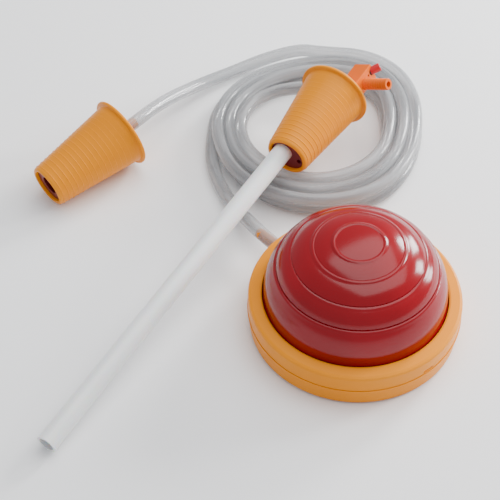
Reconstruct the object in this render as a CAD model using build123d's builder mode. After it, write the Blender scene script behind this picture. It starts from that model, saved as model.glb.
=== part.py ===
"""Foot air pump with its hoses and its two tank stoppers, in millimetres.

The pump stands at the origin: a round tray and ring in yellow plastic clamp a red bellows dome, which the
foot presses down. Its air hose goes to the stopper that carries the dip tube, and the liquid hose leads
from that stopper to a second one. +Z is up, and the origin is on the floor under the pump's centre.
"""

import os
from math import cos, degrees, hypot, pi, radians, sin, tan

from build123d import *

os.makedirs("parts", exist_ok=True)

# ---- driving dimensions -------------------------------------------------------------------------
BASE_R = 87.5  # outside radius of the pump's base
BASE_TOP = 34.0  # height of the base's flat rim
SEAM_Z = 18.0  # where the tray and the ring meet
WALL = 2.5  # plastic wall
FLOOR_Z = 3.0  # underside of the tray's floor
DOME_WALL = 2.2  # flexible wall of the bellows
TIER_STROKE = 14.0  # each of the three moving tiers sinks this far into the one below
TIER_GAP = 0.3

HOSE_R = 6.0  # clear hose, 12 mm outside and 8 mm inside
HOSE_BORE_R = 4.0
SPIGOT_ANGLE = 134.6  # the outlet's direction, in degrees from +X towards +Y
SPIGOT_Z = 20.0

STOPPER_LENGTH = 87.0
STOPPER_SMALL_R = 19.7
STOPPER_BIG_R = 29.3
LIP_R = 33.2
MOUTH_R = 15.8
PLATE = 3.0  # end plate and lip
RIB_PITCH = 5.0
BUSH_DEPTH = 3.0
BUSH_LENGTH = 14.0

TUBE_R = 8.5  # dip tube
TUBE_BORE_R = 6.5
TUBE_OUT = 337.0  # what shows of the dip tube
TUBE_IN = 87.3  # what the stopper holds


def write(builder, name):
    """Labels a finished piece and writes it to parts/."""
    builder.part.label = name
    export_step(builder.part, f"parts/{name}.step")


def section(seat):
    """The plane through a seat's axis: its x is the radius, and its y is along the axis."""
    return Plane(origin=seat.origin, x_dir=seat.x_dir, z_dir=-seat.y_dir)


def axis_of(seat):
    return Axis(seat.origin, seat.z_dir)


def direction(azimuth, slope=0.0):
    """A unit vector from its azimuth, from +X towards +Y, and its slope above the horizon, in degrees."""
    flat = cos(radians(slope))
    return Vector(flat * cos(radians(azimuth)), flat * sin(radians(azimuth)), sin(radians(slope)))


# ---- the pump's base ----------------------------------------------------------------------------
spigot_way = direction(SPIGOT_ANGLE)
spigot_seat = Plane(
    origin=Vector(0, 0, SPIGOT_Z), x_dir=Vector(0, 0, 1), z_dir=spigot_way
)
SPIGOT_BODY_R = 6.2
RIB_R = 75.0  # circular rib of the tray that carries the dome's bead
BEAD_TOP = 31.4
BEAD = 1.8
SCREW_CIRCLE = 79.5
SCREW_START = 45.0  # azimuth of the first of the six screws
BOSS_R = 3.4
SCREW_R = 1.5
FLAP_HOLE_CIRCLE = 9.0
SPRING_CUP_R = 27.0

with BuildPart() as base_tray:
    with BuildSketch(Plane.XZ):
        with BuildLine():
            Polyline(
                (0, FLOOR_Z), (83.3, FLOOR_Z), (83.6, 1.0), (85.6, 1.0), (86.2, 1.6),
                (87.0, SEAM_Z - 2.2), (88.0, SEAM_Z - 1.6), (88.0, SEAM_Z - 0.2), (85.0, SEAM_Z - 0.2),
                (85.0, SEAM_Z + 2.6), (83.4, SEAM_Z + 2.6), (83.0, FLOOR_Z + WALL),
                (RIB_R, FLOOR_Z + WALL), (RIB_R, BEAD_TOP - BEAD - 0.1),
                (RIB_R - WALL, BEAD_TOP - BEAD - 0.1), (RIB_R - WALL, FLOOR_Z + WALL),
                (SPRING_CUP_R + 1.6, FLOOR_Z + WALL),
                (SPRING_CUP_R + 1.6, 12.0), (SPRING_CUP_R, 12.0), (SPRING_CUP_R, FLOOR_Z + WALL),
                (0, FLOOR_Z + WALL), close=True,
            )
        make_face()
    revolve(axis=Axis.Z)
    # posts for the screws, then their holes and the counterbores for the heads
    with BuildSketch(Plane.XY.offset(FLOOR_Z + WALL)):
        with PolarLocations(SCREW_CIRCLE, 6, start_angle=SCREW_START):
            Circle(BOSS_R)
    extrude(amount=SEAM_Z - 0.4 - FLOOR_Z - WALL)
    with BuildSketch(Plane.XY):
        with PolarLocations(SCREW_CIRCLE, 6, start_angle=SCREW_START):
            Circle(SCREW_R + 0.15)
    extrude(amount=SEAM_Z, mode=Mode.SUBTRACT)
    # intake holes under the flap, and the hole for its rivet
    with BuildSketch(Plane.XY.offset(FLOOR_Z)):
        with PolarLocations(FLAP_HOLE_CIRCLE, 6):
            Circle(2.0)
        Circle(1.9)
    extrude(amount=WALL, mode=Mode.SUBTRACT)
    # passage for the outlet spigot through the rib and the outer wall
    with BuildSketch(spigot_seat.offset(RIB_R - 6)):
        Circle(SPIGOT_BODY_R + 0.1)
    extrude(amount=24, mode=Mode.SUBTRACT)
    # shallow pockets for the feet
    with BuildSketch(Plane.XY.offset(FLOOR_Z)):
        with PolarLocations(62.0, 4, start_angle=45):
            Circle(8.1)
    extrude(amount=1.0, mode=Mode.SUBTRACT)
write(base_tray, "base_tray")

with BuildPart() as base_ring:
    with BuildSketch(Plane.XZ):
        with BuildLine():
            Polyline(
                (85.3, SEAM_Z), (87.4, SEAM_Z), (BASE_R, SEAM_Z + 1.0), (BASE_R, BASE_TOP - 3.0),
                (86.8, BASE_TOP - 1.1), (85.0, BASE_TOP - 0.2), (83.2, BASE_TOP), (77.8, BASE_TOP + 0.6),
                (76.4, BASE_TOP + 0.3), (76.2, BEAD_TOP), (85.0, BEAD_TOP), (85.3, BEAD_TOP - 1.0),
                close=True,
            )
        make_face()
    revolve(axis=Axis.Z)
    with BuildSketch(Plane.XY.offset(SEAM_Z)):
        with PolarLocations(SCREW_CIRCLE, 6, start_angle=SCREW_START):
            Circle(BOSS_R)
    extrude(amount=BEAD_TOP - SEAM_Z + 0.2)
    with BuildSketch(Plane.XY.offset(SEAM_Z)):
        with PolarLocations(SCREW_CIRCLE, 6, start_angle=SCREW_START):
            Circle(SCREW_R + 0.05)
    extrude(amount=10.5, mode=Mode.SUBTRACT)
    # notch over the spigot, and the pry slot in the side
    with BuildSketch(spigot_seat.offset(BASE_R - 9)):
        Circle(SPIGOT_BODY_R + 0.1)
    extrude(amount=12, mode=Mode.SUBTRACT)
    slot_seat = Plane(origin=Vector(0, 0, SEAM_Z + 2.6), x_dir=Vector(0, 0, 1), z_dir=direction(-51))
    with BuildSketch(slot_seat.offset(BASE_R - 1.2)):
        Rectangle(1.8, 10.0)
    extrude(amount=4, mode=Mode.SUBTRACT)
write(base_ring, "base_ring")

with BuildPart() as rubber_feet:
    with BuildSketch(Plane.XY):
        with PolarLocations(62.0, 4, start_angle=45):
            Circle(8.0)
    extrude(amount=FLOOR_Z + 0.95)
    chamfer(rubber_feet.edges().group_by(Axis.Z)[0], length=0.5)
write(rubber_feet, "rubber_feet")

with BuildPart() as tray_screws:
    with BuildSketch(Plane.XY.offset(FLOOR_Z - 1.9)):
        with PolarLocations(SCREW_CIRCLE, 6, start_angle=SCREW_START):
            Circle(3.0)
    extrude(amount=1.85)
    with BuildSketch(Plane.XY.offset(FLOOR_Z - 1.9)):
        with PolarLocations(SCREW_CIRCLE, 6, start_angle=SCREW_START):
            Rectangle(0.7, 3.6)
            Rectangle(3.6, 0.7)
    extrude(amount=0.9, mode=Mode.SUBTRACT)
    with BuildSketch(Plane.XY.offset(FLOOR_Z - 0.1)):
        with PolarLocations(SCREW_CIRCLE, 6, start_angle=SCREW_START):
            Circle(SCREW_R)
    extrude(amount=24.0)
write(tray_screws, "tray_screws")

# ---- the bellows dome, in a fixed skirt and three sinking tiers --------------------------------
with BuildPart() as dome_skirt:
    with BuildSketch(Plane.XZ):
        with BuildLine():
            Polyline((67.2, 65.0), (65.3, 66.0), (65.3, 63.4))
            ThreePointArc((65.3, 63.4), (70.9, 51.5), (72.4, 36.0))
            Polyline((72.4, 36.0), (72.4, BEAD_TOP - BEAD), (79.0, BEAD_TOP - BEAD), (79.0, BEAD_TOP - 0.1),
                     (75.4, BEAD_TOP - 0.1), (74.8, 36.0))
            ThreePointArc((74.8, 36.0), (73.2, 51.5), (67.2, 65.0))
        make_face()
    revolve(axis=Axis.Z)
    # the bead is notched round the screw posts
    with BuildSketch(Plane.XY.offset(BEAD_TOP - BEAD - 1)):
        with PolarLocations(SCREW_CIRCLE, 6, start_angle=SCREW_START):
            Circle(BOSS_R + 0.9)
    extrude(amount=BEAD + 2, mode=Mode.SUBTRACT)
write(dome_skirt, "dome_skirt")

with BuildPart() as dome_lower_tier:
    with BuildSketch(Plane.XZ):
        with BuildLine():
            Polyline((64.9, 60.5), (64.9, 66.4))
            ThreePointArc((64.9, 66.4), (61.2, 73.8), (55.1, 79.0))
            Polyline((55.1, 79.0), (53.0, 80.0), (53.0, 78.2))
            ThreePointArc((53.0, 78.2), (59.4, 72.4), (62.7, 65.0))
            Polyline((62.7, 65.0), (62.7, 60.5), (64.9, 60.5))
        make_face()
    revolve(axis=Axis.Z)
write(dome_lower_tier, "dome_lower_tier")

with BuildPart() as dome_upper_tier:
    with BuildSketch(Plane.XZ):
        with BuildLine():
            Polyline((52.7, 75.5), (52.7, 80.4))
            ThreePointArc((52.7, 80.4), (46.0, 85.8), (37.6, 89.4))
            Polyline((37.6, 89.4), (35.4, 90.2), (35.4, 88.0))
            ThreePointArc((35.4, 88.0), (44.6, 84.0), (50.5, 79.2))
            Polyline((50.5, 79.2), (50.5, 75.5), (52.7, 75.5))
        make_face()
    revolve(axis=Axis.Z)
write(dome_upper_tier, "dome_upper_tier")

PLATE_R = 29.0
PLATE_Z = 83.6  # underside of the spring plate
CROWN_TOP = 96.1
CROWN_SAG = 1.2
crown_ball = (19.0**2 + CROWN_SAG**2) / (2 * CROWN_SAG)  # radius of the sphere that closes the crown
crown_mid = CROWN_TOP - crown_ball + (crown_ball**2 - 9.5**2) ** 0.5
with BuildPart() as dome_crown:
    with BuildSketch(Plane.XZ):
        with BuildLine():
            Polyline((35.1, 86.4), (35.1, 90.5))
            ThreePointArc((35.1, 90.5), (27.4, 93.3), (19.0, CROWN_TOP - CROWN_SAG))
            ThreePointArc((19.0, CROWN_TOP - CROWN_SAG), (9.5, crown_mid), (0.0, CROWN_TOP))
            Polyline((0.0, CROWN_TOP), (0.0, 93.7), (17.0, 92.9), (25.0, 91.6), (25.0, PLATE_Z + 1.6),
                     (27.2, PLATE_Z + 1.6), (27.2, 90.8), (32.9, 89.2), (32.9, 86.4), (35.1, 86.4))
        make_face()
    revolve(axis=Axis.Z)
write(dome_crown, "dome_crown")

with BuildPart() as spring_plate:
    with BuildSketch(Plane.XY.offset(PLATE_Z)):
        Circle(PLATE_R)
        Circle(4.0, mode=Mode.SUBTRACT)
    extrude(amount=1.5)
    with BuildSketch(Plane.XY.offset(PLATE_Z - 3.0)):
        Circle(21.2)
        Circle(19.8, mode=Mode.SUBTRACT)
    extrude(amount=3.2)
write(spring_plate, "spring_plate")

SPRING_R = 23.0
SPRING_WIRE_R = 1.3
SPRING_TURNS = 7
spring_low = FLOOR_Z + WALL + SPRING_WIRE_R + 0.05
spring_high = PLATE_Z - SPRING_WIRE_R - 0.05
with BuildPart() as return_spring:
    with BuildLine() as spring_line:
        Helix(
            pitch=(spring_high - spring_low) / SPRING_TURNS, height=spring_high - spring_low,
            radius=SPRING_R, center=(0, 0, spring_low),
        )
    with BuildSketch(Plane(origin=spring_line.line @ 0, z_dir=spring_line.line % 0)):
        Circle(SPRING_WIRE_R)
    sweep(is_frenet=True)
write(return_spring, "return_spring")

# ---- valves and outlet of the pump --------------------------------------------------------------
flap_z = FLOOR_Z + WALL + 0.05
with BuildPart() as intake_flap:
    with BuildSketch(Plane.XY.offset(flap_z)):
        Circle(14.0)
        Circle(2.1, mode=Mode.SUBTRACT)
    extrude(amount=1.2)
write(intake_flap, "intake_flap")

with BuildPart() as flap_rivet:
    with BuildSketch(Plane.XZ):
        with BuildLine():
            Polyline((0, 1.6), (3.6, 1.6), (3.6, FLOOR_Z - 0.05), (1.8, FLOOR_Z - 0.05),
                     (1.8, flap_z + 3.4), (4.6, flap_z + 3.4), (3.4, flap_z + 4.8), (0, flap_z + 5.2),
                     close=True)
        make_face()
    revolve(axis=Axis.Z)
write(flap_rivet, "flap_rivet")

SPIGOT_IN = 68.0  # its inner end, inside the air chamber
SPIGOT_OUT = 112.0
BARB_ROOT_R = 3.9
BARB_CREST_R = 4.9
VALVE_IN = 71.0  # outer face of the valve seat's bore
with BuildPart() as outlet_spigot:
    with BuildSketch(section(spigot_seat)):
        with BuildLine():
            Polyline((SPIGOT_BODY_R, SPIGOT_IN + 1.2), (SPIGOT_BODY_R, 77.5), (8.6, 77.5), (8.6, 79.4),
                     (SPIGOT_BODY_R, 79.4), (SPIGOT_BODY_R, 88.6), (BARB_ROOT_R, 89.2),
                     (BARB_ROOT_R, 94.0), (BARB_CREST_R, 94.0), (BARB_ROOT_R, 98.5),
                     (BARB_CREST_R, 98.5), (BARB_ROOT_R, 103.0), (BARB_CREST_R, 103.0),
                     (BARB_ROOT_R, 107.5), (BARB_CREST_R, 107.5), (BARB_ROOT_R - 0.3, SPIGOT_OUT),
                     (2.8, SPIGOT_OUT), (2.8, 80.0), (5.0, 77.0), (5.0, SPIGOT_IN + 1.2), close=True)
        make_face()
    revolve(axis=axis_of(spigot_seat))
write(outlet_spigot, "outlet_spigot")

with BuildPart() as outlet_seat:
    with BuildSketch(section(spigot_seat)):
        with BuildLine():
            Polyline((2.6, SPIGOT_IN), (SPIGOT_BODY_R, SPIGOT_IN), (SPIGOT_BODY_R, SPIGOT_IN + 1.1),
                     (4.9, SPIGOT_IN + 1.1), (4.9, VALVE_IN), (2.6, VALVE_IN), close=True)
        make_face()
    revolve(axis=axis_of(spigot_seat))
write(outlet_seat, "outlet_seat")

with BuildPart() as outlet_flap:
    with BuildSketch(spigot_seat.offset(VALVE_IN + 0.05)):
        Circle(4.4)
    extrude(amount=1.2)
    with BuildSketch(spigot_seat.offset(VALVE_IN - 2.6)):
        Circle(1.3)
    extrude(amount=2.8)
write(outlet_flap, "outlet_flap")

with BuildPart() as spigot_seal:
    with BuildSketch(section(spigot_seat)):
        with Locations((SPIGOT_BODY_R + 1.3, 76.2)):
            Circle(1.15)
    revolve(axis=axis_of(spigot_seat))
write(spigot_seal, "spigot_seal")

# ---- the stoppers -------------------------------------------------------------------------------
# source stopper: lies on the coiled hoses, its barb turned up to the right
source_way = direction(58.3, 5.9)
source_side = direction(58.3 - 90)
source_up = source_side.cross(source_way)
BARB_ROLL = 26.0
barb_way = source_side * cos(radians(BARB_ROLL)) + source_up * sin(radians(BARB_ROLL))
source_seat = Plane(origin=Vector(-53.9, 146.6, 45.0), x_dir=barb_way, z_dir=source_way)
# filler stopper: lies on the floor to the left
filler_seat = Plane(
    origin=Vector(-265.6, 133.8, 20.1), x_dir=direction(41.7 - 90), z_dir=direction(41.7, 9.0)
)
# the dip tube leaves the mouth beside the stopper's axis, and leans a little from it
TUBE_SIDE = (-2.9, -4.4)
tube_way = direction(56.7, 6.6)
tube_seat = Plane(
    origin=source_seat.from_local_coords(Vector(*TUBE_SIDE, 0)), x_dir=barb_way, z_dir=tube_way
)

inner_slope = (STOPPER_BIG_R - 3.4 - MOUTH_R) / (STOPPER_LENGTH - PLATE)
outer_slope = (STOPPER_BIG_R - STOPPER_SMALL_R) / (STOPPER_LENGTH - PLATE)
RIBS = 16
RIB_PROUD = 0.15


def inside_r(z):
    return MOUTH_R + inner_slope * z


def outside_r(z):
    return STOPPER_SMALL_R + outer_slope * z


def stopper_outline():
    """Half section of a stopper's hollow cone with its lip and end plate: (radius, along) points."""
    points = [(MOUTH_R, 0), (STOPPER_SMALL_R - 2.4, 0), (STOPPER_SMALL_R - 0.7, 0.7),
              (STOPPER_SMALL_R, 2.4)]
    for k in range(RIBS):
        z = 4.0 + RIB_PITCH * k
        points += [(outside_r(z) - RIB_PROUD, z), (outside_r(z) + RIB_PROUD, z + 0.7)]
    lip = STOPPER_LENGTH - PLATE
    points += [
        (outside_r(lip), lip - 0.6), (LIP_R - 0.8, lip - 0.4), (LIP_R, lip + 0.5),
        (LIP_R, STOPPER_LENGTH - 0.8), (LIP_R - 0.8, STOPPER_LENGTH), (0, STOPPER_LENGTH), (0, lip),
        (inside_r(lip), lip),
    ]
    return points


AIR_HOLE = (17.8, 0)
with BuildPart() as source_stopper:
    with BuildSketch(section(source_seat)):
        with BuildLine():
            Polyline(*stopper_outline(), close=True)
        make_face()
    revolve(axis=axis_of(source_seat))
    with BuildSketch(tube_seat.offset(STOPPER_LENGTH - 8)):
        Circle(TUBE_R + 0.05)
    extrude(amount=16, mode=Mode.SUBTRACT)
    with BuildSketch(source_seat.offset(STOPPER_LENGTH - PLATE - 1)):
        with Locations(AIR_HOLE):
            Circle(3.2)
    extrude(amount=PLATE + 2, mode=Mode.SUBTRACT)
write(source_stopper, "source_stopper")

NIPPLE_R = 4.9
with BuildPart() as filler_stopper:
    with BuildSketch(section(filler_seat)):
        with BuildLine():
            Polyline(*stopper_outline(), close=True)
        make_face()
    revolve(axis=axis_of(filler_seat))
    with BuildSketch(filler_seat.offset(STOPPER_LENGTH - PLATE - 1)):
        Circle(NIPPLE_R + 0.05)
    extrude(amount=PLATE + 2, mode=Mode.SUBTRACT)
write(filler_stopper, "filler_stopper")

BUSH_GAP = 0.15
with BuildPart() as source_bush:
    with BuildSketch(section(source_seat)):
        with BuildLine():
            Polyline(
                (0, BUSH_DEPTH), (inside_r(BUSH_DEPTH) - BUSH_GAP, BUSH_DEPTH),
                (inside_r(BUSH_DEPTH + BUSH_LENGTH) - BUSH_GAP, BUSH_DEPTH + BUSH_LENGTH),
                (0, BUSH_DEPTH + BUSH_LENGTH), close=True,
            )
        make_face()
    revolve(axis=axis_of(source_seat))
    with BuildSketch(tube_seat.offset(BUSH_DEPTH - 4)):
        Circle(TUBE_R + 0.05)
    extrude(amount=BUSH_LENGTH + 8, mode=Mode.SUBTRACT)
    with BuildSketch(source_seat.offset(BUSH_DEPTH - 1)):
        with Locations((8.4, 7.6)):
            Circle(2.3)
    extrude(amount=BUSH_LENGTH + 2, mode=Mode.SUBTRACT)
write(source_bush, "source_bush")

with BuildPart() as filler_bush:
    with BuildSketch(section(filler_seat)):
        with BuildLine():
            Polyline(
                (TUBE_R, BUSH_DEPTH), (inside_r(BUSH_DEPTH) - BUSH_GAP, BUSH_DEPTH),
                (inside_r(BUSH_DEPTH + BUSH_LENGTH) - BUSH_GAP, BUSH_DEPTH + BUSH_LENGTH),
                (TUBE_R, BUSH_DEPTH + BUSH_LENGTH), close=True,
            )
        make_face()
    revolve(axis=axis_of(filler_seat))
write(filler_bush, "filler_bush")

with BuildPart() as dip_tube:
    with BuildSketch(tube_seat.offset(-TUBE_OUT)):
        Circle(TUBE_R)
        Circle(TUBE_BORE_R, mode=Mode.SUBTRACT)
    extrude(amount=TUBE_OUT + TUBE_IN)
write(dip_tube, "dip_tube")

# ---- head of the source stopper: elbow for the liquid, valve block for the air -------------------
ELBOW_FOOT = STOPPER_LENGTH + 0.4
ELBOW_R = 8.8
ELBOW_TOP = STOPPER_LENGTH + 16.5
ELBOW_MID = STOPPER_LENGTH + 8.5
ELBOW_REACH = 30.0
elbow_seat = tube_seat.offset(ELBOW_MID)
OUTLET_DROOP = 9.0  # the outlet turns this far down from the barb's line
outlet_way = elbow_seat.x_dir * -cos(radians(OUTLET_DROOP)) + elbow_seat.y_dir * sin(radians(OUTLET_DROOP))
outlet_plane = Plane(origin=elbow_seat.origin, x_dir=tube_seat.z_dir, z_dir=outlet_way)
with BuildPart() as liquid_elbow:
    with BuildSketch(tube_seat.offset(ELBOW_FOOT)):
        Circle(ELBOW_R)
    extrude(amount=ELBOW_TOP - ELBOW_FOOT)
    chamfer(liquid_elbow.edges().filter_by(GeomType.CIRCLE).sort_by(axis_of(tube_seat))[-1], length=2.0)
    with BuildSketch(section(outlet_plane)):
        with BuildLine():
            Polyline((0, 4), (BARB_ROOT_R, 4), (BARB_ROOT_R, 14.0), (BARB_CREST_R, 14.0),
                     (BARB_ROOT_R, 18.5), (BARB_CREST_R, 18.5), (BARB_ROOT_R, 23.0), (BARB_CREST_R, 23.0),
                     (BARB_ROOT_R - 0.3, ELBOW_REACH), (0, ELBOW_REACH), close=True)
        make_face()
    revolve(axis=axis_of(outlet_plane))
    # its foot stands on the end plate, over the end of the dip tube
    with BuildSketch(tube_seat.offset(ELBOW_FOOT)):
        Circle(TUBE_BORE_R)
    extrude(amount=ELBOW_TOP - ELBOW_FOOT - 3, mode=Mode.SUBTRACT)
    with BuildSketch(outlet_plane):
        Circle(2.8)
    extrude(amount=ELBOW_REACH + 1, mode=Mode.SUBTRACT)
write(liquid_elbow, "liquid_elbow")

BLOCK_NEAR, BLOCK_FAR = 9.1, 26.6  # across, from the stopper's axis towards the barb
BLOCK_HALF = 7.6
BLOCK_SHIFT = -2.0  # the block's middle, off the barb's axis
BLOCK_LENGTH = 29.5
BARB_UP = 13.5  # barb's height above the end plate
BARB_OUT = 52.4
BARB_STUB_R = 3.9
VENT_SHIFT = -3.0
VENT_UP = 21.7  # height of the hole in the block's side that the air leaves by
VENT_R = 3.8
VENT_PROUD = 7.3
VENT_DEEP = 9.0
block_end = STOPPER_LENGTH + BLOCK_LENGTH
block_mid = (BLOCK_NEAR + BLOCK_FAR) / 2
barb_seat = Plane(
    origin=source_seat.from_local_coords(Vector(0, 0, STOPPER_LENGTH + BARB_UP)),
    x_dir=source_seat.z_dir, z_dir=barb_way,
)
vent_way = (source_seat.z_dir + barb_way).normalized()
vent_seat = Plane(
    origin=source_seat.from_local_coords(Vector(BLOCK_FAR, VENT_SHIFT, block_end)),
    x_dir=source_seat.y_dir, z_dir=vent_way,
)
with BuildPart() as valve_block:
    with BuildSketch(source_seat.offset(STOPPER_LENGTH + 0.02)):
        with Locations((block_mid, BLOCK_SHIFT)):
            Rectangle(BLOCK_FAR - BLOCK_NEAR, 2 * BLOCK_HALF)
    extrude(amount=BLOCK_LENGTH)
    fillet(valve_block.edges().filter_by(Axis(source_seat.origin, source_seat.z_dir)), radius=0.8)
    with BuildSketch(source_seat.offset(STOPPER_LENGTH)):
        with Locations(AIR_HOLE):
            Circle(3.2)
    extrude(amount=17.6, mode=Mode.SUBTRACT)
    with BuildSketch(barb_seat.offset(AIR_HOLE[0])):
        Circle(BARB_STUB_R + 0.05)
    extrude(amount=12, mode=Mode.SUBTRACT)
    with BuildSketch(vent_seat.offset(-VENT_DEEP - 5)):
        Circle(VENT_R + 0.12)
    extrude(amount=VENT_DEEP + 10, mode=Mode.SUBTRACT)
    with BuildSketch(barb_seat.offset(BLOCK_FAR - 6)):
        with Locations((VENT_UP - BARB_UP, -VENT_SHIFT)):
            Circle(1.1)
    extrude(amount=8, mode=Mode.SUBTRACT)
write(valve_block, "valve_block")

with BuildPart() as air_barb:
    with BuildSketch(section(barb_seat)):
        with BuildLine():
            Polyline(
                (2.8, AIR_HOLE[0] + 1.5), (BARB_STUB_R, AIR_HOLE[0] + 1.5), (BARB_STUB_R, BLOCK_FAR + 0.05),
                (5.3, BLOCK_FAR + 0.05), (5.3, BLOCK_FAR + 1.4), (4.6, BLOCK_FAR + 2.4),
                *[
                    point
                    for k in range(4)
                    for point in (
                        (4.6, BLOCK_FAR + 3.4 + 5.0 * k), (5.3, BLOCK_FAR + 3.8 + 5.0 * k),
                        (4.6, BLOCK_FAR + 7.2 + 5.0 * k),
                    )
                ],
                (4.6, BARB_OUT - 2.6), (5.2, BARB_OUT - 2.2), (5.2, BARB_OUT - 0.7), (4.7, BARB_OUT),
                (2.8, BARB_OUT), close=True,
            )
        make_face()
    revolve(axis=axis_of(barb_seat))
write(air_barb, "air_barb")

with BuildPart() as vent_plunger:
    with BuildSketch(section(vent_seat)):
        with BuildLine():
            Polyline((0, -VENT_DEEP + 3.2), (VENT_R, -VENT_DEEP + 3.2), (VENT_R, -3.8),
                     (VENT_R - 1.1, -3.8), (VENT_R - 1.1, -2.2), (VENT_R, -2.2),
                     (VENT_R, VENT_PROUD - 0.5), (VENT_R - 0.5, VENT_PROUD), (0, VENT_PROUD), close=True)
        make_face()
    revolve(axis=axis_of(vent_seat))
write(vent_plunger, "vent_plunger")

with BuildPart() as vent_seal:
    with BuildSketch(section(vent_seat)):
        with Locations((VENT_R - 0.52, -3.0)):
            Circle(0.55)
    revolve(axis=axis_of(vent_seat))
write(vent_seal, "vent_seal")

spring_run = 7.2
with BuildPart() as vent_spring:
    with BuildLine() as vent_line:
        Helix(
            pitch=spring_run / 5, height=spring_run, radius=2.6,
            center=vent_seat.offset(-VENT_DEEP - 4.5).origin, direction=vent_seat.z_dir,
        )
    with BuildSketch(Plane(origin=vent_line.line @ 0, z_dir=vent_line.line % 0)):
        Circle(0.35)
    sweep(is_frenet=True)
write(vent_spring, "vent_spring")

with BuildPart() as filler_nipple:
    with BuildSketch(section(filler_seat)):
        with BuildLine():
            top = STOPPER_LENGTH
            Polyline((2.9, top - 12), (4.6, top - 12), (NIPPLE_R, top - 8.0), (NIPPLE_R, top + 0.05),
                     (8.0, top + 0.05), (8.0, top + 2.2), (BARB_ROOT_R, top + 2.2),
                     (BARB_ROOT_R, top + 6.0), (BARB_CREST_R, top + 6.0), (BARB_ROOT_R, top + 10.5),
                     (BARB_CREST_R, top + 10.5), (BARB_ROOT_R - 0.3, top + 16.0), (2.9, top + 16.0),
                     close=True)
        make_face()
    revolve(axis=axis_of(filler_seat))
write(filler_nipple, "filler_nipple")

# ---- hoses --------------------------------------------------------------------------------------
# Stations round the coil, clockwise from its left: where the outermost and the innermost turn lie.
OUTER_TURN = [(-121, 205), (-118, 245), (-98, 280), (-62, 305), (-18, 320), (27, 316), (58, 292),
              (71, 252), (69, 208), (56, 165), (28, 130), (-20, 114), (-67, 122), (-104, 152)]
INNER_TURN = [(-96, 211), (-91, 241), (-77, 265), (-50, 282), (-20, 288), (10, 284), (30, 268),
              (37, 242), (36, 214), (29, 186), (7, 162), (-24, 150), (-57, 156), (-86, 180)]
COIL_CENTRE = (-28, 218)
# the top layer starts further in at the upper left, where the liquid hose climbs on from outside
TOP_LAYER_IN = [0.0, 0.3, 0.4, 0.3, 0.0, 0.0, 0.0, 0.0, 0.0, 0.0, 0.0, 0.0, 0.0, 0.0]


def pushed(point, by):
    """The point moved by that much straight away from the coil's middle."""
    x, y = point[0] - COIL_CENTRE[0], point[1] - COIL_CENTRE[1]
    stretch = 1 + by / hypot(x, y)
    return (COIL_CENTRE[0] + x * stretch, COIL_CENTRE[1] + y * stretch)


def between(a, b, share):
    return (a[0] + (b[0] - a[0]) * share, a[1] + (b[1] - a[1]) * share)


TOP_TURN = [between(a, b, share) for a, b, share in zip(OUTER_TURN, INNER_TURN, TOP_LAYER_IN)]
LAYER = 12.0
layers = {"air_hose_coil": (OUTER_TURN, 0.1), "liquid_hose_coil": (TOP_TURN, 0.1 + LAYER + 0.1)}
for name, (outline, low) in layers.items():
    with BuildPart() as coil:
        with BuildSketch(Plane.XY.offset(low)):
            with BuildLine():
                Spline(*[pushed(p, HOSE_R) for p in outline], periodic=True)
            make_face()
            with BuildLine():
                Spline(*[pushed(p, -HOSE_R) for p in INNER_TURN], periodic=True)
            make_face(mode=Mode.SUBTRACT)
        extrude(amount=LAYER)
    write(coil, name)

filler_tip = filler_seat.from_local_coords(Vector(0, 0, STOPPER_LENGTH + 2.4))
filler_ahead = filler_seat.from_local_coords(Vector(0, 0, STOPPER_LENGTH + 19))
outlet_root = outlet_plane.from_local_coords(Vector(0, 0, ELBOW_R + 0.4))
outlet_ahead = outlet_plane.from_local_coords(Vector(0, 0, ELBOW_REACH))
spigot_root = spigot_seat.from_local_coords(Vector(0, 0, 89.2))
routes = {
    # from the pump's outlet, down to the floor and into the coil's outermost turn
    "air_hose_lead": [tuple(spigot_root), (-74.3, 76, 20), (-86.5, 95.5, 16.5), (-98, 117, 9.8),
                      (-108.5, 139.5, 6.1), (-116.5, 162, 6.05), (-121, 184, 6.1)],
    # from the filler stopper, down to the floor, and up onto the coil's top layer
    "liquid_hose_tail": [tuple(filler_tip), tuple(filler_ahead), (-176.5, 220, 34), (-161, 246, 25),
                         (-134, 280, 12), (-104, 304, 6.4), (-71, 320.5, 10.2), (-37, 324.5, 18.3),
                         (-14, 324, 18.3)],
    # from the elbow behind the source stopper, round onto the coil's inner side
    "liquid_hose_feed": [tuple(outlet_root), tuple(outlet_ahead), (-41, 252.5, 31.5), (-59, 255.5, 26),
                         (-77, 249.5, 22.5), (-90, 234.5, 20.5), (-96, 216, 19.5)],
}
for name, route in routes.items():
    points = [Vector(*p) for p in route]
    runs = [(b - a) for a, b in zip(points, points[1:])]
    turns = [radians(a.get_angle(b)) for a, b in zip(runs, runs[1:])]
    radii = [0.45 * min(a.length, b.length) / tan(t / 2) for a, b, t in zip(runs, runs[1:], turns)]
    with BuildPart() as hose:
        with BuildLine() as path:
            FilletPolyline(*points, radius=radii)
        with BuildSketch(Plane(origin=path.line @ 0, z_dir=path.line % 0)):
            Circle(HOSE_R)
        sweep()
    length = path.wires()[0].length
    expected = pi * HOSE_R**2 * length
    print(f"{name}: {length:.0f} mm, volume over section times length "
          f"{hose.part.volume / expected:.4f}, radii {[round(r) for r in radii]}, "
          f"turns {[round(degrees(t)) for t in turns]}")
    write(hose, name)

for title, seat in (("source seat", source_seat), ("filler seat", filler_seat), ("tube seat", tube_seat),
                    ("barb seat", barb_seat), ("vent seat", vent_seat), ("spigot seat", spigot_seat)):
    print(title, [round(v, 3) for v in seat.origin], [round(v, 5) for v in seat.z_dir])
for title, point in (("outlet root", outlet_root), ("outlet ahead", outlet_ahead),
                     ("filler tip", filler_tip), ("filler ahead", filler_ahead)):
    print(title, [round(v, 2) for v in point])
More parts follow.
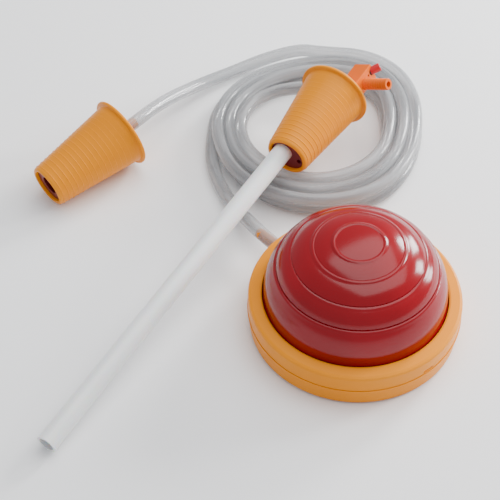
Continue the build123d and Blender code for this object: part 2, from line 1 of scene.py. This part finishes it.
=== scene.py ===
"""Foot air pump with its coiled hoses and its two tank stoppers, for Blender."""
import math

import bmesh
import bpy
from mathutils import Matrix, Vector


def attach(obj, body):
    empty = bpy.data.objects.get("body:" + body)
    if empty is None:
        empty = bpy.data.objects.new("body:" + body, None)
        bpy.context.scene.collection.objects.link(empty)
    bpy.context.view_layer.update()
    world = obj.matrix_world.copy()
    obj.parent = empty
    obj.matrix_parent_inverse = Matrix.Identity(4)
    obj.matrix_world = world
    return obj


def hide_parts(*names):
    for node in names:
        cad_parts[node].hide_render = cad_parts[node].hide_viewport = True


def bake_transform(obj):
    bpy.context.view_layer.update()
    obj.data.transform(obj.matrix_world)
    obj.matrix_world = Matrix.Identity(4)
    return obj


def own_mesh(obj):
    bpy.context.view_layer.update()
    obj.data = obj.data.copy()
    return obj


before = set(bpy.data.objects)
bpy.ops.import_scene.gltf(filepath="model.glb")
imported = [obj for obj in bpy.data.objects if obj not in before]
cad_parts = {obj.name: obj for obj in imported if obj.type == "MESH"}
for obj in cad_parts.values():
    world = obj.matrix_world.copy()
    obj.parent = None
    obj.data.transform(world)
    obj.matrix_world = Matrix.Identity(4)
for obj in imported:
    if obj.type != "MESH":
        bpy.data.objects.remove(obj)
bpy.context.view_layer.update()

# ---- Camera, floor and light ---------------------------------------------------------------------
# The set lies on a pale table top under a broad soft light, seen from the front and well above.
camera_data = bpy.data.cameras.new("camera")
camera_data.lens = 100.8
camera_data.sensor_width = 36.0
camera_data.clip_start = 0.05
camera = bpy.data.objects.new("camera", camera_data)
camera.location = (-0.0857, -0.7360, 0.9056)
camera.rotation_euler = (math.radians(41.92), 0.0, 0.0)
bpy.context.scene.collection.objects.link(camera)
bpy.context.scene.camera = camera

floor_mesh = bpy.data.meshes.new("table_top")
floor_mesh.from_pydata(
    [(-6, -6, -0.0006), (6, -6, -0.0006), (6, 6, -0.0006), (-6, 6, -0.0006)], [], [(0, 1, 2, 3)]
)
table_top = bpy.data.objects.new("table_top", floor_mesh)
bpy.context.scene.collection.objects.link(table_top)
paper = bpy.data.materials.new("pale_paper")
paper.use_nodes = True
paper_shader = paper.node_tree.nodes["Principled BSDF"]
paper_shader.inputs["Base Color"].default_value = (0.93, 0.93, 0.93, 1)
paper_shader.inputs["Roughness"].default_value = 0.75
paper_shader.inputs["Specular IOR Level"].default_value = 0.2
floor_mesh.materials.append(paper)

world = bpy.data.worlds.new("studio")
world.use_nodes = True
world.node_tree.nodes["Background"].inputs["Color"].default_value = (0.93, 0.95, 1.0, 1)
world.node_tree.nodes["Background"].inputs["Strength"].default_value = 0.7
bpy.context.scene.world = world


def softbox(name, place, aim, width, height, power, colour=(1, 1, 1)):
    """A rectangular lamp at place, turned towards aim."""
    lamp = bpy.data.lights.new(name, "AREA")
    lamp.shape = "RECTANGLE"
    lamp.size, lamp.size_y = width, height
    lamp.energy = power
    lamp.color = colour
    stand = bpy.data.objects.new(name, lamp)
    stand.location = place
    stand.rotation_euler = (Vector(aim) - Vector(place)).to_track_quat("-Z", "Y").to_euler()
    bpy.context.scene.collection.objects.link(stand)


softbox("window_left_pane", (1.0, 1.12, 0.62), (0.04, 0.0, 0.08), 0.34, 0.5, 26.0)
softbox("window_right_pane", (1.38, 0.60, 0.50), (0.04, 0.0, 0.08), 0.34, 0.5, 22.0)
softbox("overhead", (0.4, 0.4, 1.9), (-0.05, 0.1, 0.0), 2.2, 2.0, 44.0)


# ---- Clear hoses ---------------------------------------------------------------------------------
# Soft clear vinyl hose, 12 mm outside and 8 mm inside. The air hose runs from the pump's spigot into
# the coil's lower layer and ends open there. The liquid hose joins the two stoppers through the top one.
HOSE_R = 0.006
AIR_LAYER, LIQUID_LAYER = 6.05, 18.1  # height of each layer's middle, in millimetres
COIL_UNEVEN = 0.35  # half of how far a turn rises over its layer
coil_outside = [(-121, 205), (-118, 245), (-98, 280), (-62, 305), (-18, 320), (27, 316), (58, 292),
                (71, 252), (69, 208), (56, 165), (28, 130), (-20, 114), (-67, 122), (-104, 152)]
coil_inside = [(-96, 211), (-91, 241), (-77, 265), (-50, 282), (-20, 288), (10, 284), (30, 268),
               (37, 242), (36, 214), (29, 186), (7, 162), (-24, 150), (-57, 156), (-86, 180)]
# how far in from the outside a hose lies, at each quarter turn
air_hose_in = [0.0, 0.0, 0.0, 0.03, 0.46, 0.42, 0.4, 0.44, 0.94, 0.84, 0.8, 0.82]
liquid_hose_in = [0.0, 0.0, 0.02, 0.06, 0.14, 0.4, 0.36, 0.42, 0.6, 0.78, 0.74, 0.8, 1.0, 1.0]


def coil_points(first, last, share_at_quarter, height):
    """Points round the coil, clockwise, from the first to the last station, counted from its left."""
    points = []
    stations = len(coil_outside)
    for k in range(first, last + 1):
        quarter = 4 * k / stations
        low = int(quarter)
        before, after = share_at_quarter[low], share_at_quarter[low + 1]
        share = before + (after - before) * (quarter - low)
        (ox, oy), (ix, iy) = coil_outside[k % stations], coil_inside[k % stations]
        lift = COIL_UNEVEN * (1 + math.sin(1.7 * k))
        points.append((ox + (ix - ox) * share, oy + (iy - oy) * share, height + lift))
    return points


def smooth_line(name, route):
    """A curve on one smooth line through the route's points, given in millimetres."""
    line = bpy.data.curves.new(name, "CURVE")
    line.dimensions = "3D"
    spline = line.splines.new("NURBS")
    spline.points.add(len(route) - 1)
    for point, (x, y, z) in zip(spline.points, route):
        point.co = (x / 1000, y / 1000, z / 1000, 1)
    spline.order_u = 3
    spline.use_endpoint_u = True
    spline.resolution_u = 6
    return line


def vinyl_hose(name, route):
    """A hose round the route's smooth line, closed at both ends."""
    line = smooth_line(name, route)
    line.bevel_depth = HOSE_R
    line.bevel_resolution = 5
    line.use_fill_caps = True
    hose = bpy.data.objects.new(name, line)
    bpy.context.scene.collection.objects.link(hose)
    return hose


def hose_length(route):
    """Length in metres of the route's smooth line."""
    thread = bpy.data.objects.new("measure", smooth_line("measure", route))
    mesh = bpy.data.meshes.new_from_object(thread)
    places = [vertex.co for vertex in mesh.vertices]
    total = sum((places[a] - places[b]).length for a, b in (edge.vertices for edge in mesh.edges))
    bpy.data.objects.remove(thread)
    return total


air_route = [(-62.6, 63.5, 20), (-74.3, 76, 20), (-86.5, 95.5, 16.5), (-98, 117, 9.8),
             (-108.5, 139.5, 6.1), (-116.5, 162, 6.05), (-121, 184, 6.1)]
air_route += coil_points(0, 36, air_hose_in, AIR_LAYER)
liquid_route = [(-11.8, 232.69, 53.43), (-25.32, 243.21, 41.63), (-41, 252.5, 31.5), (-59, 255.5, 26),
                (-77, 249.5, 22.5), (-90, 234.5, 20.5)]
liquid_route += coil_points(4, 42, liquid_hose_in, LIQUID_LAYER)[::-1]
liquid_route += [(-37, 324.5, 18.3), (-71, 320.5, 10.2), (-104, 304, 6.4), (-134, 280, 12), (-161, 246, 25),
                 (-176.5, 220, 34), (-187.4, 203.5, 36.7), (-199.7, 192.5, 34.1)]

vinyl = bpy.data.materials.new("clear_vinyl")
vinyl.use_nodes = True
nodes, links = vinyl.node_tree.nodes, vinyl.node_tree.links
shader = nodes["Principled BSDF"]
shader.inputs["Roughness"].default_value = 0.14
shader.inputs["IOR"].default_value = 1.4
shader.inputs["Transmission Weight"].default_value = 0.35
shader.inputs["Alpha"].default_value = 0.66
shader.inputs["Coat Weight"].default_value = 0.25
shader.inputs["Coat Roughness"].default_value = 0.1
# the base colour goes from dark to light grey in noise streaks along the hose: painted light streaks that
# stand in for the caustic lines of light inside the clear vinyl
place = nodes.new("ShaderNodeTexCoord")
along = nodes.new("ShaderNodeMapping")
along.inputs["Scale"].default_value = (14.0, 5.0, 1.0)
painted_light_streaks = nodes.new("ShaderNodeTexNoise")
painted_light_streaks.inputs["Scale"].default_value = 1.2
painted_light_streaks.inputs["Detail"].default_value = 3.0
tone = nodes.new("ShaderNodeValToRGB")
tone.color_ramp.elements[0].position = 0.35
tone.color_ramp.elements[0].color = (0.30, 0.31, 0.32, 1)
tone.color_ramp.elements[1].position = 0.68
tone.color_ramp.elements[1].color = (0.62, 0.63, 0.64, 1)
links.new(place.outputs["UV"], along.inputs["Vector"])
links.new(along.outputs["Vector"], painted_light_streaks.inputs["Vector"])
links.new(painted_light_streaks.outputs["Fac"], tone.inputs["Fac"])
links.new(tone.outputs["Color"], shader.inputs["Base Color"])

air_hose = vinyl_hose("air_hose", air_route)
liquid_hose = vinyl_hose("liquid_hose", liquid_route)
for hose, solids in ((air_hose, ("air_hose_lead", "air_hose_coil")),
                     (liquid_hose, ("liquid_hose_tail", "liquid_hose_coil", "liquid_hose_feed"))):
    hose.data.materials.append(vinyl)
    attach(hose, "base")
    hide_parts(*solids)
hose_length(air_route)
hose_length(liquid_route)


# ---- Yellow base mouldings -----------------------------------------------------------------------
# The tray and the ring above it are moulded in glossy yellow plastic, with a faint skin texture.
def moulded_plastic(name, colour, deep, roughness, grain=900.0, bump=0.04, sss=0.08, sheen=0.5):
    """Moulded plastic: a slow change of tone, a fine skin on the surface, and a soft gloss."""
    plastic = bpy.data.materials.new(name)
    plastic.use_nodes = True
    nodes, links = plastic.node_tree.nodes, plastic.node_tree.links
    shader = nodes["Principled BSDF"]
    shader.inputs["Roughness"].default_value = roughness
    shader.inputs["IOR"].default_value = 1.5
    shader.inputs["Specular IOR Level"].default_value = sheen
    shader.inputs["Subsurface Weight"].default_value = sss
    shader.inputs["Subsurface Radius"].default_value = (0.004, 0.002, 0.001)
    place = nodes.new("ShaderNodeTexCoord")
    cloud = nodes.new("ShaderNodeTexNoise")
    cloud.inputs["Scale"].default_value = 14.0
    cloud.inputs["Detail"].default_value = 2.0
    tone = nodes.new("ShaderNodeValToRGB")
    tone.color_ramp.elements[0].position = 0.3
    tone.color_ramp.elements[0].color = (*deep, 1)
    tone.color_ramp.elements[1].position = 0.7
    tone.color_ramp.elements[1].color = (*colour, 1)
    skin = nodes.new("ShaderNodeTexNoise")
    skin.inputs["Scale"].default_value = grain
    skin.inputs["Detail"].default_value = 2.0
    relief = nodes.new("ShaderNodeBump")
    relief.inputs["Strength"].default_value = bump
    relief.inputs["Distance"].default_value = 0.0004
    links.new(place.outputs["Object"], cloud.inputs["Vector"])
    links.new(place.outputs["Object"], skin.inputs["Vector"])
    links.new(cloud.outputs["Fac"], tone.inputs["Fac"])
    links.new(tone.outputs["Color"], shader.inputs["Base Color"])
    links.new(skin.outputs["Fac"], relief.inputs["Height"])
    links.new(relief.outputs["Normal"], shader.inputs["Normal"])
    return plastic


def finish_node(node, material):
    """Gives a frame piece its finish."""
    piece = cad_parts[node]
    piece.data.materials.clear()
    piece.data.materials.append(material)
    return piece


yellow = moulded_plastic("yellow_moulding", (0.80, 0.27, 0.0), (0.76, 0.245, 0.0), 0.36, sss=0.0,
                         sheen=0.14)
for node in ("base_tray", "base_ring", "outlet_spigot"):
    finish_node(node, yellow)


# ---- Feet, screws and valves ---------------------------------------------------------------------
# Rubber feet and steel screws hold under the tray; rubber flaps and their seats are inside it.
rubber = moulded_plastic("black_rubber", (0.025, 0.025, 0.026), (0.016, 0.016, 0.017), 0.7, grain=500.0,
                         bump=0.1, sss=0.0)
for node in ("rubber_feet", "intake_flap", "outlet_flap", "spigot_seal", "vent_seal"):
    finish_node(node, rubber)
natural = moulded_plastic("natural_plastic", (0.78, 0.77, 0.73), (0.72, 0.71, 0.67), 0.45)
for node in ("spring_plate", "flap_rivet", "outlet_seat"):
    finish_node(node, natural)

steel = bpy.data.materials.new("zinc_steel")
steel.use_nodes = True
nodes, links = steel.node_tree.nodes, steel.node_tree.links
nodes["Principled BSDF"].inputs["Metallic"].default_value = 1.0
nodes["Principled BSDF"].inputs["Base Color"].default_value = (0.60, 0.61, 0.63, 1)
place = nodes.new("ShaderNodeTexCoord")
haze = nodes.new("ShaderNodeTexNoise")
haze.inputs["Scale"].default_value = 400.0
polish = nodes.new("ShaderNodeMapRange")
polish.inputs["To Min"].default_value = 0.22
polish.inputs["To Max"].default_value = 0.42
links.new(place.outputs["Object"], haze.inputs["Vector"])
links.new(haze.outputs["Fac"], polish.inputs["Value"])
links.new(polish.outputs["Result"], nodes["Principled BSDF"].inputs["Roughness"])
finish_node("tray_screws", steel)


# ---- Return spring -------------------------------------------------------------------------------
# Steel wire wound seven times between the tray's cup and the plate under the crown. The dome's
# travel shortens it to under half its length.
SPRING_FOOT, SPRING_HEAD = 0.00555, 0.0835
SPRING_R, WIRE_R, SPRING_TURNS = 0.023, 0.0013, 7.0


def nodes_piece(name, tree, **sizes):
    """Makes a node tree's result a plain mesh piece; sizes set the tree's inputs by name."""
    seed = bpy.data.meshes.new(name)
    maker = bpy.data.objects.new(name, seed)
    bpy.context.scene.collection.objects.link(maker)
    modifier = maker.modifiers.new("make", "NODES")
    modifier.node_group = tree
    for socket in tree.interface.items_tree:
        if socket.item_type == "SOCKET" and socket.in_out == "INPUT" and socket.name in sizes:
            modifier[socket.identifier] = sizes[socket.name]
    shape = bpy.data.meshes.new_from_object(maker.evaluated_get(bpy.context.evaluated_depsgraph_get()))
    maker.modifiers.remove(modifier)
    maker.data = shape
    shape.name = name
    return maker


spring_tree = bpy.data.node_groups.new("wound_spring", "GeometryNodeTree")
spring_tree.interface.new_socket("Geometry", in_out="INPUT", socket_type="NodeSocketGeometry")
for label in ("Height", "Radius", "Turns", "Wire"):
    spring_tree.interface.new_socket(label, in_out="INPUT", socket_type="NodeSocketFloat")
spring_tree.interface.new_socket("Geometry", in_out="OUTPUT", socket_type="NodeSocketGeometry")
nodes, links = spring_tree.nodes, spring_tree.links
given, result = nodes.new("NodeGroupInput"), nodes.new("NodeGroupOutput")
winding = nodes.new("GeometryNodeCurveSpiral")
winding.inputs["Resolution"].default_value = 40
wire = nodes.new("GeometryNodeCurvePrimitiveCircle")
wire.inputs["Resolution"].default_value = 10
draw = nodes.new("GeometryNodeCurveToMesh")
draw.inputs["Fill Caps"].default_value = True
whole = nodes.new("GeometryNodeRealizeInstances")
coat = nodes.new("GeometryNodeSetMaterial")
coat.inputs["Material"].default_value = steel
links.new(given.outputs["Turns"], winding.inputs["Rotations"])
links.new(given.outputs["Radius"], winding.inputs["Start Radius"])
links.new(given.outputs["Radius"], winding.inputs["End Radius"])
links.new(given.outputs["Height"], winding.inputs["Height"])
links.new(given.outputs["Wire"], wire.inputs["Radius"])
links.new(winding.outputs["Curve"], draw.inputs["Curve"])
links.new(wire.outputs["Curve"], draw.inputs["Profile Curve"])
links.new(draw.outputs["Mesh"], whole.inputs["Geometry"])
links.new(whole.outputs["Geometry"], coat.inputs["Geometry"])
links.new(coat.outputs["Geometry"], result.inputs["Geometry"])
spring = nodes_piece("wound_spring", spring_tree, Height=SPRING_HEAD - SPRING_FOOT - 2 * WIRE_R,
                     Radius=SPRING_R, Turns=SPRING_TURNS, Wire=WIRE_R)
spring.data.transform(Matrix.Translation((0, 0, SPRING_FOOT + WIRE_R)))
spring.data.shade_smooth()
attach(spring, "base")
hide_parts("return_spring")
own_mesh(spring)


# ---- Red bellows dome ----------------------------------------------------------------------------
# One glossy flexible moulding that steps in three times between its clamped foot and its crown.
red_vinyl = moulded_plastic("red_vinyl", (0.27, 0.0, 0.006), (0.21, 0.0, 0.004), 0.17, grain=700.0,
                            bump=0.03, sss=0.0, sheen=0.34)


def turned(name, outline, material, steps=192):
    """A round piece: a closed outline, of radius and height in millimetres, turned about +Z."""
    form = bmesh.new()
    rings = []
    for radius, height in outline:
        count = steps if radius > 0 else 1
        turns = [2 * math.pi * k / steps for k in range(count)]
        rings.append([
            form.verts.new((radius * math.cos(t) / 1000, radius * math.sin(t) / 1000, height / 1000))
            for t in turns
        ])
    for low, high in zip(rings, rings[1:] + rings[:1]):
        for k in range(steps):
            corners = [low[k % len(low)], low[(k + 1) % len(low)], high[(k + 1) % len(high)],
                       high[k % len(high)]]
            corners = list(dict.fromkeys(corners))
            if len(corners) > 2:
                form.faces.new(corners)
    bmesh.ops.recalc_face_normals(form, faces=form.faces)
    shape = bpy.data.meshes.new(name)
    form.to_mesh(shape)
    form.free()
    shape.materials.append(material)
    shape.shade_smooth()
    shape.set_sharp_from_angle(angle=math.radians(50))
    piece = bpy.data.objects.new(name, shape)
    bpy.context.scene.collection.objects.link(piece)
    return piece


def arc(start, middle, end, steps=12):
    """Points along the circle from start through middle to end, radius and height in millimetres."""
    (ax, ay), (bx, by), (cx, cy) = start, middle, end
    d = 2 * (ax * (by - cy) + bx * (cy - ay) + cx * (ay - by))
    ox = ((ax**2 + ay**2) * (by - cy) + (bx**2 + by**2) * (cy - ay) + (cx**2 + cy**2) * (ay - by)) / d
    oy = ((ax**2 + ay**2) * (cx - bx) + (bx**2 + by**2) * (ax - cx) + (cx**2 + cy**2) * (bx - ax)) / d
    size = math.hypot(ax - ox, ay - oy)
    first, last = math.atan2(ay - oy, ax - ox), math.atan2(cy - oy, cx - ox)
    return [(ox + size * math.cos(first + (last - first) * k / steps),
             oy + size * math.sin(first + (last - first) * k / steps)) for k in range(steps + 1)]


skirt = turned("dome_skirt_skin", [
    (75.2, 31.6), (75.6, 33.4), (75.3, 34.8), *arc((74.7, 36.2), (73.1, 51.5), (67.7, 63.6)),
    (67.3, 64.6), (66.7, 65.2), (65.7, 65.5), (65.2, 65.4), (65.15, 63.2),
    *arc((65.1, 63.2), (70.3, 51.0), (72.0, 36.0)), (72.6, 31.6)], red_vinyl)
lower_tier = turned("dome_lower_skin", [
    (65.0, 63.4), (65.0, 65.4), *arc((65.1, 66.3), (61.6, 73.6), (55.8, 78.5)), (55.2, 79.15), (54.4, 79.4),
    (53.5, 79.6), (53.1, 79.5), *arc((53.1, 77.6), (59.6, 72.2), (62.9, 65.4)), (62.9, 63.4)], red_vinyl)
upper_tier = turned("dome_upper_skin", [
    (53.0, 77.6), (53.0, 79.4), *arc((53.1, 80.2), (46.4, 85.6), (38.5, 89.0)), (38.0, 89.5), (37.3, 90.0),
    (36.4, 90.2), (35.7, 90.2), (35.2, 90.0), *arc((35.2, 87.9), (44.6, 84.0), (50.9, 79.0)),
    (50.9, 77.6)], red_vinyl)
crown = turned("dome_crown_skin", [
    (35.1, 88.0), (35.1, 89.4), *arc((35.2, 90.2), (29.0, 92.6), (22.4, 94.1)), (21.6, 94.6), (20.9, 95.0),
    (20.1, 95.1), (19.3, 94.9), (18.6, 94.7), *arc((18.6, 94.75), (9.5, 95.75), (0.0, 96.1))[:-1],
    (0.0, 96.1), (0.0, 94.3), (19.0, 92.9), (33.2, 88.0)], red_vinyl)
for skin, solid in ((skirt, "dome_skirt"), (lower_tier, "dome_lower_tier"), (upper_tier, "dome_upper_tier"),
                    (crown, "dome_crown")):
    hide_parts(solid)
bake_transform(skirt)
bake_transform(lower_tier)
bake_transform(upper_tier)
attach(crown, "dome_top")


# ---- Stoppers ------------------------------------------------------------------------------------
# Hollow tapered mouldings with fine ribs round them and a lip at the big end.
RIB_COUNT, RIB_PITCH, RIB_START, RIB_R = 16, 0.005, 0.0042, 0.0005
RIB_SUNK = 0.00036  # how far a rib's middle lies under the cone's face
CONE_SMALL_R, CONE_BIG_R, CONE_LENGTH = 0.0197, 0.0293, 0.084
SOURCE_AXIS, BARB_AXIS = (0.52269, 0.8463, 0.10279), (0.74103, -0.51063, 0.43605)


def seat_matrix(origin, along, across):
    """Where a piece made upright goes: its foot's place in millimetres, and where its z and x point."""
    z = Vector(along).normalized()
    y = z.cross(Vector(across)).normalized()
    x = y.cross(z)
    seat = Matrix((x, y, z)).transposed().to_4x4()
    seat.translation = Vector(origin) / 1000
    return seat


rib_tree = bpy.data.node_groups.new("rib_rings", "GeometryNodeTree")
rib_tree.interface.new_socket("Geometry", in_out="INPUT", socket_type="NodeSocketGeometry")
rib_tree.interface.new_socket("Count", in_out="INPUT", socket_type="NodeSocketInt")
for label in ("Start", "Pitch", "Radius", "Slope", "Rib"):
    rib_tree.interface.new_socket(label, in_out="INPUT", socket_type="NodeSocketFloat")
rib_tree.interface.new_socket("Geometry", in_out="OUTPUT", socket_type="NodeSocketGeometry")
nodes, links = rib_tree.nodes, rib_tree.links
given, result = nodes.new("NodeGroupInput"), nodes.new("NodeGroupOutput")
levels = nodes.new("GeometryNodeMeshLine")
foot, step = nodes.new("ShaderNodeCombineXYZ"), nodes.new("ShaderNodeCombineXYZ")
ring = nodes.new("GeometryNodeCurvePrimitiveCircle")
ring.inputs["Resolution"].default_value = 128
ring.inputs["Radius"].default_value = 1.0
where, height = nodes.new("GeometryNodeInputPosition"), nodes.new("ShaderNodeSeparateXYZ")
grow, wide = nodes.new("ShaderNodeMath"), nodes.new("ShaderNodeMath")
grow.operation = "MULTIPLY"
wide.operation = "ADD"
size = nodes.new("ShaderNodeCombineXYZ")
size.inputs["Z"].default_value = 1.0
spread = nodes.new("GeometryNodeInstanceOnPoints")
apart = nodes.new("GeometryNodeRealizeInstances")
round_edge = nodes.new("GeometryNodeCurvePrimitiveCircle")
round_edge.inputs["Resolution"].default_value = 10
draw = nodes.new("GeometryNodeCurveToMesh")
whole = nodes.new("GeometryNodeRealizeInstances")
coat = nodes.new("GeometryNodeSetMaterial")
coat.inputs["Material"].default_value = yellow
links.new(given.outputs["Count"], levels.inputs["Count"])
links.new(given.outputs["Start"], foot.inputs["Z"])
links.new(given.outputs["Pitch"], step.inputs["Z"])
links.new(foot.outputs["Vector"], levels.inputs["Start Location"])
links.new(step.outputs["Vector"], levels.inputs["Offset"])
links.new(where.outputs["Position"], height.inputs["Vector"])
links.new(height.outputs["Z"], grow.inputs[0])
links.new(given.outputs["Slope"], grow.inputs[1])
links.new(grow.outputs["Value"], wide.inputs[0])
links.new(given.outputs["Radius"], wide.inputs[1])
links.new(wide.outputs["Value"], size.inputs["X"])
links.new(wide.outputs["Value"], size.inputs["Y"])
links.new(levels.outputs["Mesh"], spread.inputs["Points"])
links.new(ring.outputs["Curve"], spread.inputs["Instance"])
links.new(size.outputs["Vector"], spread.inputs["Scale"])
links.new(spread.outputs["Instances"], apart.inputs["Geometry"])
links.new(apart.outputs["Geometry"], draw.inputs["Curve"])
links.new(given.outputs["Rib"], round_edge.inputs["Radius"])
links.new(round_edge.outputs["Curve"], draw.inputs["Profile Curve"])
links.new(draw.outputs["Mesh"], whole.inputs["Geometry"])
links.new(whole.outputs["Geometry"], coat.inputs["Geometry"])
links.new(coat.outputs["Geometry"], result.inputs["Geometry"])

cone = [(15.8, 1.0), (16.1, 0.45), (16.7, 0.1), (17.2, 0.0), (18.0, 0.15), (18.7, 0.5), (19.2, 1.1),
        (19.5, 1.9), (19.7, 2.6), (29.25, 83.0), (29.6, 83.6), (30.3, 83.9), (32.1, 84.0), (32.8, 84.3),
        (33.15, 84.9), (33.2, 85.6), (33.1, 86.3), (32.7, 86.8), (32.1, 87.0), (0.0, 87.0), (0.0, 84.0),
        (25.7, 84.0), (25.9, 83.0)]
seats = {
    "source": seat_matrix((-53.9, 146.6, 45.0), SOURCE_AXIS, BARB_AXIS),
    "filler": seat_matrix((-265.6, 133.8, 20.1), (0.73745, 0.65704, 0.15643), (0.66523, -0.74664, 0.0)),
}
for stopper, seat in seats.items():
    body = turned(f"{stopper}_cone", cone, yellow)
    ribs = nodes_piece(f"{stopper}_ribs", rib_tree, Count=RIB_COUNT, Start=RIB_START, Pitch=RIB_PITCH,
                       Radius=CONE_SMALL_R - RIB_SUNK,
                       Slope=(CONE_BIG_R - CONE_SMALL_R) / CONE_LENGTH, Rib=RIB_R)
    ribs.data.shade_smooth()
    for piece in (body, ribs):
        piece.data.transform(seat)
        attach(piece, "base")
    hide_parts(f"{stopper}_stopper")
for node in ("filler_nipple", "liquid_elbow"):
    finish_node(node, yellow)
dark_red = moulded_plastic("dark_red_rubber", (0.16, 0.002, 0.006), (0.11, 0.001, 0.004), 0.4, grain=600.0,
                           bump=0.05, sss=0.0)
for node in ("source_bush", "filler_bush"):
    finish_node(node, dark_red)


# ---- Valve block, barb and button ----------------------------------------------------------------
# An orange block on the source stopper's end plate carries a ringed barb for the air hose, and a red
# button that lets the pressure out.
BARB_RINGS, RING_PITCH, RING_START = 8, 2.6, 29.3
VENT_AXIS = Vector((0.89358, 0.23736, 0.38102))
BUTTON_WIRE_R, BUTTON_SPRING_R, BUTTON_SPRING_LENGTH, BUTTON_TURNS = 0.00035, 0.0026, 0.0072, 5.0
BUTTON_SPRING_DEEP = 13.5  # from the block's corner to the spring's foot, in millimetres

orange = moulded_plastic("orange_moulding", (0.74, 0.13, 0.0), (0.68, 0.11, 0.0), 0.36, sss=0.0,
                         sheen=0.14)
finish_node("valve_block", orange)
barb_outline = [(2.8, 19.3), (3.9, 19.3), (3.9, 26.65), (5.25, 26.65), (5.25, 28.0), (4.7, 28.6)]
for k in range(BARB_RINGS):
    low = RING_START + RING_PITCH * k
    barb_outline += [(4.35, low), (4.9, low + 0.3), (5.25, low + 0.8), (5.25, low + 1.3), (4.9, low + 1.8)]
barb_outline += [(4.6, 50.3), (5.2, 50.7), (5.2, 51.7), (4.7, 52.4), (2.8, 52.4)]
barb = turned("ringed_barb", barb_outline, orange, 64)
barb.data.transform(seat_matrix((-1.37, 231.654, 55.331), BARB_AXIS, SOURCE_AXIS))
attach(barb, "base")
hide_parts("air_barb")

# the button's spring is five turns of thin steel wire behind the plunger
spring_foot = Vector((25.44, 232.067, 71.256)) - BUTTON_SPRING_DEEP * VENT_AXIS
button_spring = nodes_piece("button_spring", spring_tree, Height=BUTTON_SPRING_LENGTH,
                            Radius=BUTTON_SPRING_R, Turns=BUTTON_TURNS, Wire=BUTTON_WIRE_R)
button_spring.data.transform(seat_matrix(spring_foot, VENT_AXIS, (0, 0, 1)))
button_spring.data.shade_smooth()
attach(button_spring, "base")
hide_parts("vent_spring")
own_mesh(button_spring)
red = moulded_plastic("red_button", (0.55, 0.0, 0.006), (0.48, 0.0, 0.004), 0.3, sss=0.0)
finish_node("vent_plunger", red)


# ---- Dip tube ------------------------------------------------------------------------------------
# Milky polyethylene tube that lets some light through.
milky = moulded_plastic("milky_tube", (0.86, 0.87, 0.86), (0.80, 0.81, 0.80), 0.28, sss=0.5)
finish_node("dip_tube", milky)
